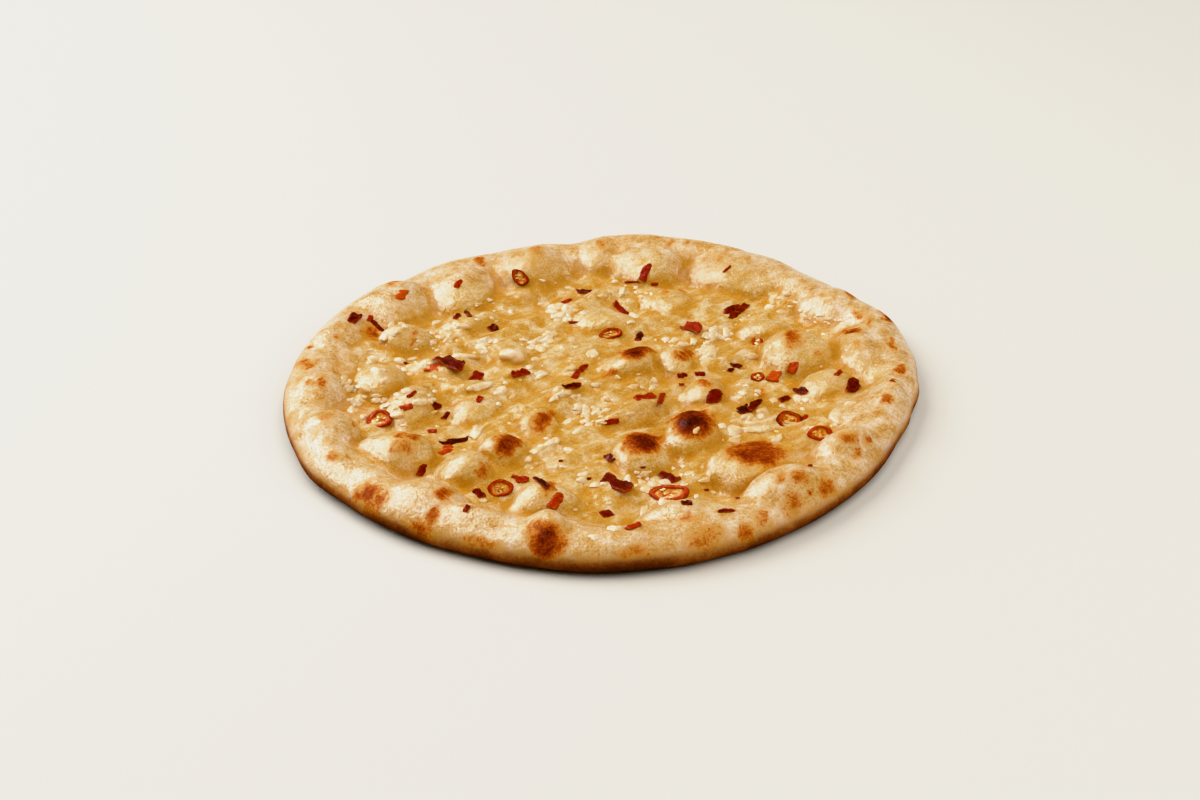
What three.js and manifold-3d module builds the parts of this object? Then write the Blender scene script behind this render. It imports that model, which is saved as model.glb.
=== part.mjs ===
// A round, hand-stretched naan: a thin floor inside a puffed rim, blistered all over, with garlic
// bits, chilli rings and chilli flakes baked onto it. Millimetres, +Z up, resting on z = 0 with
// the origin under its middle. The bread and what is baked onto it are one solid.
import * as THREE from 'three';
import { mergeVertices } from 'three/addons/utils/BufferGeometryUtils.js';
import Module from 'manifold-3d';

// Driving dimensions
const FLOOR = 6.8;              // thickness of the bread inside the rim
const CREST_INSET = 11.5;       // from the outer edge to the rim's crest
const RIM_FOOT = 28;            // from the outer edge to where the rim meets the floor
const EDGE_HEIGHT = 6.2;        // height of the widest point of the outer edge
const TOP_ROUND = 11;           // width of the outer edge's upper curve
const UNDER_ROUND = 8;          // width of the outer edge's lower curve
const CREASE = 2.6;             // height over which one puff blends into its neighbour
const STEEPNESS = 0.62;         // how upright a puff's foot is; 0.5 is an ellipsoid's
const ROLL_HEIGHT = 0.9;        // low swells of the floor
const PLEAT_HEIGHT = 0.6;       // low pleats pulled across the floor
const PLEAT_TURN = 38;          // the way the pleats run, in degrees
const WARP = 0.7;               // how far a blister's outline wanders from its ellipse

// Mesh density
const RINGS = 25;               // rings of triangles from the middle to the top of the outer edge
const RIM_POINTS = 6 * RINGS;   // points round the outer edge
const TOP_ROWS = [60, 38, 16];  // rows down the upper curve of the edge, degrees above its widest
const UNDER_ROWS = [0, 35, 90]; // rows down the lower curve, degrees below its widest point
const UNDER_RINGS = [0.62, 0.3];// rings of the flat underside, as shares of its radius

// The rim, station by station anticlockwise from +X: angle in degrees, outer radius, crest height
const RIM = [
  [0, 123.5, 14.3], [12, 126, 14.2], [23, 128, 14.4], [34, 124.5, 13.2], [45, 124, 13],
  [54, 124.8, 14.8], [66, 124, 14.8], [79, 122.3, 16.2], [88, 121.4, 15], [98, 118.3, 12.8],
  [106, 118.8, 13.6], [116, 118.6, 13.2], [124, 120, 14], [135, 118.3, 13.2], [144, 123, 13.8],
  [158, 122.8, 13.5], [172, 123.8, 13], [186, 124.8, 13.5], [200, 125, 14.5], [209, 126, 14.5],
  [221, 123.8, 14], [233, 123, 15], [246, 121.6, 14], [258, 122, 14.5], [268, 122.6, 14],
  [281, 121.6, 13.5], [295, 120, 14], [307, 118.6, 15], [320, 117.8, 14.5], [340, 117.8, 14],
  [350, 120, 14.2],
];

// Puffs and blisters: x, y, half length, half width, turn in degrees, height above the floor
const PUFFS = [
  // rim, anticlockwise from the right
  [105, 20, 24, 13, 96, 8.4], [94, 62, 15, 14, 30, 9.6], [58, 90, 23, 17, -20, 9.2],
  [18, 99, 18, 17, 0, 10.4], [-1, 104, 13, 11, 90, 8.2], [-31, 96, 19, 15.5, 15, 9.4],
  [-59, 77, 18, 14, 65, 8.2], [-88, 62, 18.5, 17, 35, 10], [-109, 32, 16, 11, 75, 8.6],
  [-111, -9, 14.5, 12.5, 90, 10.4], [-105, -42, 17, 13.5, 100, 11.8], [-103, -62, 22, 9, 118, 9.6],
  [-65, -89, 20, 14, -24, 11], [-45, -101, 17, 11, -18, 9.4], [-20, -108, 9.8, 10.4, 0, 10.8],
  [28, -97, 20, 10, 4, 8], [66, -83, 18.8, 13.4, 32, 13], [91, -54, 16.8, 12, 52, 12.6],
  [111, -16, 18, 10, 80, 10.2],
  // floor, back to front
  [27, 70, 9.5, 9.5, 0, 4], [0, 53, 12, 11, 0, 4.6], [66, 42, 13, 8, 10, 6],
  [-80, 34, 11.5, 9, 5, 7], [-55, 52, 11, 8, 30, 3], [76.5, 23.5, 16.5, 14.3, 80, 9.2],
  [10, 16.5, 13, 9.5, 42, 6.2], [29, 16.5, 8.8, 8.2, 70, 6], [-88, 3, 15, 11, 80, 7],
  [-38, 26, 9, 8, 30, 3], [-56, 0, 9, 8, 0, 3], [86, -1, 13, 10, 20, 6],
  [39.5, -6, 11, 8.6, 20, 6], [55, -8, 8, 7, 90, 3.8], [-75, -17, 14, 9.5, 85, 6],
  [-49, -18, 10, 8, 70, 3.8], [-24, -29, 9.5, 7, 50, 4.6], [12, -19, 18, 7, 38, 3],
  [33, -39, 11.4, 11.2, 0, 9], [-38, -50, 9.8, 9, 60, 8], [14, -54, 11.6, 11, 0, 9.6],
  [-78, -53, 15.6, 13, 0, 9.6], [56, -62.5, 20.5, 12.6, 12, 10.4], [-52, -64, 10.8, 9.2, 0, 7.4],
  [-6, -68, 14, 8, 20, 2.4], [-22.5, -86, 14.4, 10.4, 8, 9], [38, -84, 13, 6, 20, 2.4],
];

// Folds of the floor: from x, y to x, y, half width, height (a valley's is negative)
const FOLDS = [
  [-31, -31, -16, -10, 5, 2.4], [-16, -10, 8, 9, 5.5, 2.6], [-21, -18, -8, -4, 4, -1.6],
  [0, -32, 16, -25, 4, -1.8], [16, -25, 30, -14, 4, -1.6], [7, 2, 23, 12, 4, -1.6],
  [30, 30, 48, 46, 6, 1.8], [-60, 20, -35, 40, 6, 1.5], [10, -84, 52, -74, 5, -1.6],
  [-70, -34, -50, -38, 5, -1.4],
];

// Chilli rings: x, y, length, width, turn in degrees
const CHILLI_RINGS = [
  [-87, -25, 9, 8, 60], [-38, -75, 9.5, 9, 80], [70.5, -27, 10, 9.5, 80], [83, -38, 9.5, 8, 60],
  [24, -79, 14, 9, 15], [60.5, 4.5, 7, 5.5, 80], [-35, 82, 14, 6, 105], [3, 40, 10, 8, 45],
];
const RING_DEPTH = 1.6;         // how far a ring stands above the bread
const RING_WALL = 0.3;          // a ring's wall as a share of its width
const RING_SIDES = 6;           // sides in half of a ring's outline

// The largest chilli flakes: x, y, length, width, turn in degrees
const CHILLI_FLAKES = [
  [-61, 16, 14, 8, -30], [-68, 15, 7, 6, 15], [-50, 8, 9, 5, 80], [5, -74, 12, 7, -35],
  [55, -20, 11, 7, 50], [53, 61, 14, 7, 80], [17.5, 85, 15, 4, 75], [-56, -40, 13, 5, 15],
  [-59, -46, 7, 6, 60], [24, -67, 8, 5, -50], [16, -10, 8, 7, -20], [43, -14, 9, 6, 70],
  [-101, 44, 8, 6, 70], [-83, 60, 8, 5, 80], [7, 64, 12, 3.5, -70], [36, 44, 8, 7, -25],
  [-45, 46, 7, 4, -60], [-9, 14, 8, 4, 75], [-13, -5, 8, 4, 0], [75, 10, 9, 4, 80],
  [97.5, -1, 11, 5, 65], [-16, 70, 7, 3, 40], [-67.5, -62, 8, 3.5, 80], [-17, -91, 10, 4, 65],
  [-33, 8, 7, 5, 30], [77, -5, 5, 5, 20], [52, 15, 5.5, 4, 0], [-59, 51, 6, 4, 50],
];
const FLAKE_RISE = 1.1;         // how far a flake stands above the bread

// Garlic: the largest bits, as x, y, size
const GARLIC = [
  [-36, 22, 8], [-19, 66, 7.5], [-18, 56, 6], [-47, -2, 7.5], [-40, -5, 6], [-7, -16, 7],
  [44, 39, 8], [42, 22, 8], [50, 42, 6], [49, -33, 6.5], [-22, -47, 8.5], [-28, 36, 6.5],
  [-94, -12, 6], [-97, -19, 6], [-48, -33, 6.5], [0, -75, 6],
];
const SPREAD_GARLIC = 30;       // smaller garlic bits, spread by rule
const SPREAD_FLAKES = 14;       // smaller chilli flakes, spread by rule
const SPREAD_RADIUS = 92;       // how far out the spread bits reach
const SPREAD_GAP = 7.5;         // least distance between two toppings
const ROOT = 1.6;               // how deep each topping is set into the bread

// The same numbers every time, from 0 to 1
function seeded(seed) {
  let state = seed;
  return () => {
    state = (1664525 * state + 1013904223) % 4294967296;
    return state / 4294967296;
  };
}

// Smooth unevenness: waves of about the given length, in seeded directions
function makeWaves(seed, count, length) {
  const random = seeded(seed);
  const waves = [];
  for (let i = 0; i < count; i++) {
    const heading = 2 * Math.PI * random();
    const pitch = (2 * Math.PI) / (length * (0.7 + 0.8 * random()));
    waves.push([pitch * Math.cos(heading), pitch * Math.sin(heading), 2 * Math.PI * random()]);
  }
  const scale = Math.sqrt(2 / count);
  return (x, y) => {
    let sum = 0;
    for (const [kx, ky, phase] of waves) sum += Math.sin(kx * x + ky * y + phase);
    return scale * sum;
  };
}

const roll = makeWaves(7, 9, 34);
const warpX = makeWaves(11, 6, 26);
const warpY = makeWaves(12, 6, 26);
const pleats = makeWaves(19, 8, 13);

function smoothstep(t) {
  const c = Math.min(Math.max(t, 0), 1);
  return c * c * (3 - 2 * c);
}

// The larger of two heights, with the crease between them filled to a soft curve
function softMax(a, b, width) {
  const near = Math.max(1 - Math.abs(a - b) / width, 0);
  return Math.max(a, b) + 0.25 * width * near * near;
}

// The rim's outer radius or crest height at an angle, smooth from station to station
function rimValue(angle, column) {
  const turn = THREE.MathUtils.euclideanModulo(THREE.MathUtils.radToDeg(angle), 360);
  let i = RIM.length - 1;
  while (RIM[i][0] > turn) i--;
  const from = RIM[i];
  const to = RIM[(i + 1) % RIM.length];
  const span = THREE.MathUtils.euclideanModulo(to[0] - from[0], 360);
  const t = smoothstep((turn - from[0]) / span);
  return from[column] + (to[column] - from[column]) * t;
}

// How far out a point lies from a puff's middle: 1 at its foot
function puffSpan(puff, x, y) {
  const [cx, cy, length, width, turn] = puff;
  const a = THREE.MathUtils.degToRad(turn);
  const u = ((x - cx) * Math.cos(a) + (y - cy) * Math.sin(a)) / length;
  const v = ((y - cy) * Math.cos(a) - (x - cx) * Math.sin(a)) / width;
  return Math.hypot(u, v);
}

function foldRise(fold, x, y) {
  const [x0, y0, x1, y1, width, height] = fold;
  const lengthSquared = (x1 - x0) ** 2 + (y1 - y0) ** 2;
  const along = ((x - x0) * (x1 - x0) + (y - y0) * (y1 - y0)) / lengthSquared;
  const t = Math.min(Math.max(along, 0), 1);
  const distance = Math.hypot(x - x0 - t * (x1 - x0), y - y0 - t * (y1 - y0));
  return height * Math.exp(-((distance / width) ** 2));
}

// The bread's upper surface before its outer edge is rounded over: the rim and the puffs, each
// taking over where it is the highest, with swells, pleats and folds on what lies between
function crownHeight(x, y) {
  const angle = Math.atan2(y, x);
  const inset = rimValue(angle, 1) - Math.hypot(x, y);
  const inward = smoothstep((RIM_FOOT - inset) / (RIM_FOOT - CREST_INSET));
  const wx = x + WARP * warpX(x, y);
  const wy = y + WARP * warpY(x, y);
  let rise = (rimValue(angle, 2) - FLOOR) * inward;
  let onPuff = 0;
  for (const puff of PUFFS) {
    const height = puff[5];
    const span = puffSpan(puff, wx, wy);
    // beyond its foot a puff falls away below the bread, so that the blend ends smoothly
    const beyond = Math.max((span - 1) * Math.min(puff[2], puff[3]), 0);
    const dome = height * Math.max(1 - span * span, 0) ** STEEPNESS - beyond;
    rise = softMax(rise, dome, CREASE);
    const proud = Math.min(height / 6, 1);
    onPuff = Math.max(onPuff, proud * smoothstep((1.02 - span) / 0.22));
  }
  const turn = THREE.MathUtils.degToRad(PLEAT_TURN);
  const along = x * Math.cos(turn) + y * Math.sin(turn);
  const across = y * Math.cos(turn) - x * Math.sin(turn);
  const swell = ROLL_HEIGHT * roll(x, y) * (1 - 0.6 * inward);
  const pleat = PLEAT_HEIGHT * pleats(along / 3, across) * (1 - inward) * (1 - onPuff);
  let fold = 0;
  for (const one of FOLDS) fold += foldRise(one, x, y);
  return FLOOR + rise + swell + pleat + fold * (1 - 0.7 * onPuff);
}

// A point of the outer edge's upper curve, some degrees above its widest point
function topPoint(angle, inset) {
  const r = rimValue(angle, 1) - inset;
  const x = r * Math.cos(angle);
  const y = r * Math.sin(angle);
  const t = Math.min(inset / TOP_ROUND, 1);
  const round = Math.sqrt(1 - (1 - t) ** 2);
  return [x, y, EDGE_HEIGHT + (crownHeight(x, y) - EDGE_HEIGHT) * round];
}

// The bread: a disc of near-even triangles on top, rows round the edge, and a flat underside
function breadGeometry() {
  const points = [];
  const faces = [];
  const firstInset = TOP_ROUND * (1 - Math.cos(THREE.MathUtils.degToRad(TOP_ROWS[0])));

  // ring k of the top has 6k points, so its triangles keep one size
  const ringStart = [];
  for (let k = 0; k <= RINGS; k++) {
    ringStart.push(points.length);
    const count = Math.max(6 * k, 1);
    for (let i = 0; i < count; i++) {
      const angle = (2 * Math.PI * i) / count;
      const reach = rimValue(angle, 1) - firstInset;
      points.push(topPoint(angle, rimValue(angle, 1) - (reach * k) / RINGS));
    }
  }
  for (let k = 1; k <= RINGS; k++) {
    const outer = (i) => ringStart[k] + (i % (6 * k));
    const inner = (i) => ringStart[k - 1] + (i % Math.max(6 * (k - 1), 1));
    for (let sector = 0; sector < 6; sector++) {
      for (let i = 0; i < k; i++) {
        const o = sector * k + i;
        const n = sector * (k - 1) + i;
        faces.push([outer(o), outer(o + 1), inner(n)]);
        if (i < k - 1) faces.push([outer(o + 1), inner(n + 1), inner(n)]);
      }
    }
  }

  // rows down the upper curve, then down the lower curve to the flat underside
  let previous = ringStart[RINGS];
  const addRow = (makePoint) => {
    const start = points.length;
    for (let i = 0; i < RIM_POINTS; i++) points.push(makePoint((2 * Math.PI * i) / RIM_POINTS));
    for (let i = 0; i < RIM_POINTS; i++) {
      const j = (i + 1) % RIM_POINTS;
      faces.push([previous + i, start + i, start + j], [previous + i, start + j, previous + j]);
    }
    previous = start;
  };
  for (const degrees of TOP_ROWS.slice(1)) {
    const inset = TOP_ROUND * (1 - Math.cos(THREE.MathUtils.degToRad(degrees)));
    addRow((angle) => topPoint(angle, inset));
  }
  for (const degrees of UNDER_ROWS) {
    const a = THREE.MathUtils.degToRad(degrees);
    addRow((angle) => {
      const r = rimValue(angle, 1) - UNDER_ROUND * (1 - Math.cos(a));
      return [r * Math.cos(angle), r * Math.sin(angle), EDGE_HEIGHT * (1 - Math.sin(a))];
    });
  }

  // flat underside: each ring has half the points of the one round it, down to the middle
  let count = RIM_POINTS;
  for (const share of UNDER_RINGS) {
    const start = points.length;
    const half = Math.floor(count / 2);
    for (let i = 0; i < half; i++) {
      const angle = (2 * Math.PI * i) / half;
      const r = share * (rimValue(angle, 1) - UNDER_ROUND);
      points.push([r * Math.cos(angle), r * Math.sin(angle), 0]);
    }
    for (let i = 0; i < half; i++) {
      const here = start + i;
      const next = start + ((i + 1) % half);
      const rim = [0, 1, 2].map((n) => previous + ((2 * i + n) % count));
      // an odd point left over on the last step joins the first
      if (i === half - 1 && count % 2) faces.push([previous + count - 1, next, previous]);
      faces.push([here, rim[1], rim[0]], [here, next, rim[1]], [next, rim[2], rim[1]]);
    }
    previous = start;
    count = half;
  }
  const middle = points.length;
  points.push([0, 0, 0]);
  for (let i = 0; i < count; i++) faces.push([middle, previous + ((i + 1) % count), previous + i]);

  const geometry = new THREE.BufferGeometry();
  geometry.setAttribute('position', new THREE.Float32BufferAttribute(points.flat(), 3));
  geometry.setIndex(faces.flat());
  return geometry;
}

// Where a topping sits: the bread's surface straight below, and which way is out of it
const DOWN = new THREE.Vector3(0, 0, -1);
function surfaceAt(breadMesh, x, y) {
  const ray = new THREE.Raycaster(new THREE.Vector3(x, y, 100), DOWN);
  const hit = ray.intersectObject(breadMesh)[0];
  return { point: hit.point, normal: hit.face.normal.clone() };
}

// Stands a shape made on z = 0 on the bread, turned about the way out of it
function settle(geometry, place, turnDegrees) {
  geometry.rotateZ(THREE.MathUtils.degToRad(turnDegrees));
  const up = new THREE.Vector3(0, 0, 1);
  geometry.applyQuaternion(new THREE.Quaternion().setFromUnitVectors(up, place.normal));
  geometry.translate(place.point.x, place.point.y, place.point.z);
  return geometry;
}

function extrudeUp(shape, rise) {
  const geometry = new THREE.ExtrudeGeometry(shape, { depth: rise + ROOT, bevelEnabled: false });
  return geometry.translate(0, 0, -ROOT);
}

// A chilli flake: an uneven chip with one end narrower than the other
function flakeGeometry(length, width, random) {
  const a = length / 2;
  const b = width / 2;
  const uneven = () => 0.8 + 0.35 * random();
  const shape = new THREE.Shape([
    new THREE.Vector2(-a, -b * 0.55 * uneven()), new THREE.Vector2(-0.1 * a, -b * uneven()),
    new THREE.Vector2(a, -b * 0.45 * uneven()), new THREE.Vector2(0.85 * a, b * 0.6 * uneven()),
    new THREE.Vector2(0.1 * a, b * uneven()), new THREE.Vector2(-0.9 * a, b * 0.7 * uneven()),
  ]);
  return extrudeUp(shape, FLAKE_RISE);
}

// A chilli ring: a slice across a pod, with its round opening
function ringGeometry(length, width) {
  const shape = new THREE.Shape();
  shape.absellipse(0, 0, length / 2, width / 2, 0, 2 * Math.PI);
  const hole = new THREE.Path();
  const wall = RING_WALL * width;
  hole.absellipse(0, 0, length / 2 - wall, width / 2 - wall, 0, 2 * Math.PI, true);
  shape.holes.push(hole);
  const options = { depth: RING_DEPTH + ROOT, bevelEnabled: false, curveSegments: RING_SIDES };
  return new THREE.ExtrudeGeometry(shape, options).translate(0, 0, -ROOT);
}

// A garlic bit: an uneven crumb, a little longer than wide
function garlicGeometry(size, random) {
  const geometry = new THREE.IcosahedronGeometry(1, 0);
  geometry.deleteAttribute('normal');
  geometry.deleteAttribute('uv');
  const crumb = mergeVertices(geometry);
  const position = crumb.getAttribute('position');
  for (let i = 0; i < position.count; i++) {
    const swell = 0.85 + 0.3 * random();
    position.setXYZ(i, position.getX(i) * swell, position.getY(i) * swell,
      position.getZ(i) * swell);
  }
  return crumb.scale(0.5 * size, 0.36 * size, 0.32 * size).translate(0, 0, 0.1 * size);
}

// All toppings, placed ones first, then the spread ones where there is room
function makeToppings(breadMesh) {
  const random = seeded(2024);
  const toppings = [];
  const taken = [];
  const add = (geometry, x, y, turn) => {
    toppings.push(settle(geometry, surfaceAt(breadMesh, x, y), turn));
    taken.push([x, y]);
  };
  for (const [x, y, length, width, turn] of CHILLI_RINGS) add(ringGeometry(length, width), x, y, turn);
  for (const [x, y, length, width, turn] of CHILLI_FLAKES) {
    add(flakeGeometry(length, width, random), x, y, turn);
  }
  for (const [x, y, size] of GARLIC) add(garlicGeometry(size, random), x, y, 180 * random());

  let left = SPREAD_GARLIC + SPREAD_FLAKES;
  while (left > 0) {
    const angle = 2 * Math.PI * random();
    const r = SPREAD_RADIUS * Math.sqrt(random());
    const x = r * Math.cos(angle);
    const y = r * Math.sin(angle);
    if (taken.some(([tx, ty]) => Math.hypot(tx - x, ty - y) < SPREAD_GAP)) continue;
    const size = 3.6 + 2 * random();
    const turn = 360 * random();
    if (left > SPREAD_FLAKES) add(garlicGeometry(size, random), x, y, turn);
    else add(flakeGeometry(size + 0.6, 0.6 * size, random), x, y, turn);
    left--;
  }
  return toppings;
}

const wasm = await Module();
wasm.setup();

function toSolid(geometry) {
  geometry.deleteAttribute('normal');
  geometry.deleteAttribute('uv');
  const merged = mergeVertices(geometry, 1e-4);
  return new wasm.Manifold(new wasm.Mesh({
    numProp: 3,
    vertProperties: new Float32Array(merged.getAttribute('position').array),
    triVerts: new Uint32Array(merged.getIndex().array),
  }));
}

function toGeometry(solid) {
  const mesh = solid.getMesh();
  const geometry = new THREE.BufferGeometry();
  geometry.setAttribute('position', new THREE.BufferAttribute(mesh.vertProperties, 3));
  geometry.setIndex(new THREE.BufferAttribute(mesh.triVerts, 1));
  geometry.computeVertexNormals();
  return geometry;
}

// The naan: the bread with every topping fused on
function makeNaan() {
  const bread = breadGeometry();
  const breadMesh = new THREE.Mesh(bread);
  let solid = toSolid(bread);
  for (const topping of makeToppings(breadMesh)) solid = solid.add(toSolid(topping));
  const crust = new THREE.MeshStandardMaterial({ color: 0xdeb878, roughness: 0.6, metalness: 0 });
  const naan = new THREE.Mesh(toGeometry(solid), crust);
  naan.name = 'naan';
  return naan;
}

const group = new THREE.Group();
group.add(makeNaan());
export default group;
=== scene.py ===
"""A round garlic and chilli naan: blistered, oiled bread and what is baked onto it, on a plain floor."""

import math

import bmesh
import bpy
import numpy as np
from mathutils import Matrix, Vector, noise
from mathutils.bvhtree import BVHTree


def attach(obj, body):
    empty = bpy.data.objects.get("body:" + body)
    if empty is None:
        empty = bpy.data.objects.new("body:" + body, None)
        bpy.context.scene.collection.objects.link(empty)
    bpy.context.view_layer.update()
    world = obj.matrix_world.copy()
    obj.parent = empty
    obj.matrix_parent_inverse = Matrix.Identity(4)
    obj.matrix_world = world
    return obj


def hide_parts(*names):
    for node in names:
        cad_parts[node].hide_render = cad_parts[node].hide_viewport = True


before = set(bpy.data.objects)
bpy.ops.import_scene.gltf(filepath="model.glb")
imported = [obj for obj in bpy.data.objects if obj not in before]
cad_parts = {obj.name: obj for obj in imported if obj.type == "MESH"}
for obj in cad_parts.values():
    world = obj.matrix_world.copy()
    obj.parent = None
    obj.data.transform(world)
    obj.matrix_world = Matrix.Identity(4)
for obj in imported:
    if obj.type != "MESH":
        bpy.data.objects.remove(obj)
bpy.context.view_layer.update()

# -------- sizes, in millimetres
MM = 0.001

FLOOR = 6.8             # thickness of the bread inside the rim
CREST_INSET = 11.5      # from the outer edge to the rim's crest
RIM_FOOT = 28.0         # from the outer edge to where the rim meets the floor
EDGE_HEIGHT = 6.2       # height of the widest point of the outer edge
TOP_ROUND = 11.0        # width of the outer edge's upper curve
UNDER_ROUND = 8.0       # width of the outer edge's lower curve
CREASE = 2.6            # height over which one puff blends into its neighbour
ROLL_HEIGHT = 0.9       # low swells of the floor
WARP = 0.7              # how far a blister's outline wanders from its ellipse

RINGS = 144             # rings of triangles on the bread's top
RIM_POINTS = 6 * RINGS
TOP_ROWS = [60, 50, 40, 30, 20, 10]   # rows of points on the edge's upper curve, in degrees up from its side
UNDER_ROWS = [0, 12, 26, 42, 60, 90]  # and on its lower curve, in degrees down
FIRST_INSET = TOP_ROUND * (1 - math.cos(math.radians(TOP_ROWS[0])))  # where the rings of the top end

# The rim, station by station anticlockwise from +X: angle in degrees, outer radius, crest height
RIM = np.array([
    [0, 123.5, 14.3], [12, 126, 14.2], [23, 128, 14.4], [34, 124.5, 13.2], [45, 124, 13],
    [54, 124.8, 14.8], [66, 124, 14.8], [79, 122.3, 16.2], [88, 121.4, 15], [98, 118.3, 12.8],
    [106, 118.8, 13.6], [116, 118.6, 13.2], [124, 120, 14], [135, 118.3, 13.2], [144, 123, 13.8],
    [158, 122.8, 13.5], [172, 123.8, 13], [186, 124.8, 13.5], [200, 125, 14.5], [209, 126, 14.5],
    [221, 123.8, 14], [233, 123, 15], [246, 121.6, 14], [258, 122, 14.5], [268, 122.6, 14],
    [281, 121.6, 13.5], [295, 120, 14], [307, 118.6, 15], [320, 117.8, 14.5], [340, 117.8, 14],
    [350, 120, 14.2],
])

# Puffs and blisters: x, y, half length, half width, turn in degrees, height above the floor
PUFFS = [
    # rim, anticlockwise from the right
    [105, 20, 24, 13, 96, 8.4], [94, 62, 15, 14, 30, 9.6], [58, 90, 23, 17, -20, 9.2],
    [18, 99, 18, 17, 0, 10.4], [-1, 104, 13, 11, 90, 8.2], [-31, 96, 19, 15.5, 15, 9.4],
    [-59, 77, 18, 14, 65, 8.2], [-88, 62, 18.5, 17, 35, 10], [-109, 32, 16, 11, 75, 8.6],
    [-111, -9, 14.5, 12.5, 90, 10.4], [-105, -42, 17, 13.5, 100, 11.8], [-103, -62, 22, 9, 118, 9.6],
    [-65, -89, 20, 14, -24, 11], [-45, -101, 17, 11, -18, 9.4], [-20, -108, 9.8, 10.4, 0, 10.8],
    [28, -97, 20, 10, 4, 8], [66, -83, 18.8, 13.4, 32, 13], [91, -54, 16.8, 12, 52, 12.6],
    [111, -16, 18, 10, 80, 10.2],
    # floor, back to front
    [27, 70, 9.5, 9.5, 0, 4], [0, 53, 12, 11, 0, 4.6], [66, 42, 13, 8, 10, 6],
    [-80, 34, 11.5, 9, 5, 7], [-55, 52, 11, 8, 30, 3], [76.5, 23.5, 16.5, 14.3, 80, 9.2],
    [10, 16.5, 13, 9.5, 42, 6.2], [29, 16.5, 8.8, 8.2, 70, 6], [-88, 3, 15, 11, 80, 7],
    [-38, 26, 9, 8, 30, 3], [-56, 0, 9, 8, 0, 3], [86, -1, 13, 10, 20, 6],
    [39.5, -6, 11, 8.6, 20, 6], [55, -8, 8, 7, 90, 3.8], [-75, -17, 14, 9.5, 85, 6],
    [-49, -18, 10, 8, 70, 3.8], [-24, -29, 9.5, 7, 50, 4.6], [12, -19, 18, 7, 38, 3],
    [33, -39, 11.4, 11.2, 0, 9], [-38, -50, 9.8, 9, 60, 8], [14, -54, 11.6, 11, 0, 9.6],
    [-78, -53, 15.6, 13, 0, 9.6], [56, -62.5, 20.5, 12.6, 12, 10.4], [-52, -64, 10.8, 9.2, 0, 7.4],
    [-6, -68, 14, 8, 20, 2.4], [-22.5, -86, 14.4, 10.4, 8, 9], [38, -84, 13, 6, 20, 2.4],
]
STEEPNESS = 0.62        # how upright a puff's foot is; 0.5 is an ellipsoid's

# Folds of the floor: from x, y to x, y, half width, height (a valley's is negative)
FOLDS = [
    [-31, -31, -16, -10, 5, 2.4], [-16, -10, 8, 9, 5.5, 2.6], [-21, -18, -8, -4, 4, -1.6],
    [0, -32, 16, -25, 4, -1.8], [16, -25, 30, -14, 4, -1.6], [7, 2, 23, 12, 4, -1.6],
    [30, 30, 48, 46, 6, 1.8], [-60, 20, -35, 40, 6, 1.5], [10, -84, 52, -74, 5, -1.6],
    [-70, -34, -50, -38, 5, -1.4],
]
PLEAT_TURN = math.radians(38)  # the way the floor is pulled into low pleats
PLEAT_HEIGHT = 0.6
PLEAT_STRETCH = 3       # how many times longer than wide they are
PROUD_HEIGHT = 6.0      # a puff as high as this stands clear of the floor
FOOT_OUT = 0.8          # how far outside a puff the line along its foot runs, and that line's width
FOOT_WIDTH = 1.8
OIL_BORDER = 23         # about how far inside the outer edge the oily floor begins
OIL_BLEND = 12          # width of that border
HOLLOW_REACH = 4.0      # how far round a point its neighbours are looked at to find the creases
HOLLOW_SAMPLES = 8

# The viewer, and the plane on which places seen from there are given
VIEW_ELEVATION = math.radians(30.8)
VIEW_DISTANCE = 1000.0
VIEW_AIM = Vector((-1.4, 1.27, 0.0))
VIEW_FROM = VIEW_AIM + VIEW_DISTANCE * Vector((0, -math.cos(VIEW_ELEVATION), math.sin(VIEW_ELEVATION)))
VIEW_LENS = 76.3        # on a 36 mm wide sensor
SEEN_HEIGHT = 8.0       # height of that plane, about the floor of the bread
SEEN_SHIFT = (-1.0, 4.5)  # from the origin those places are counted from to the bread's middle

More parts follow.
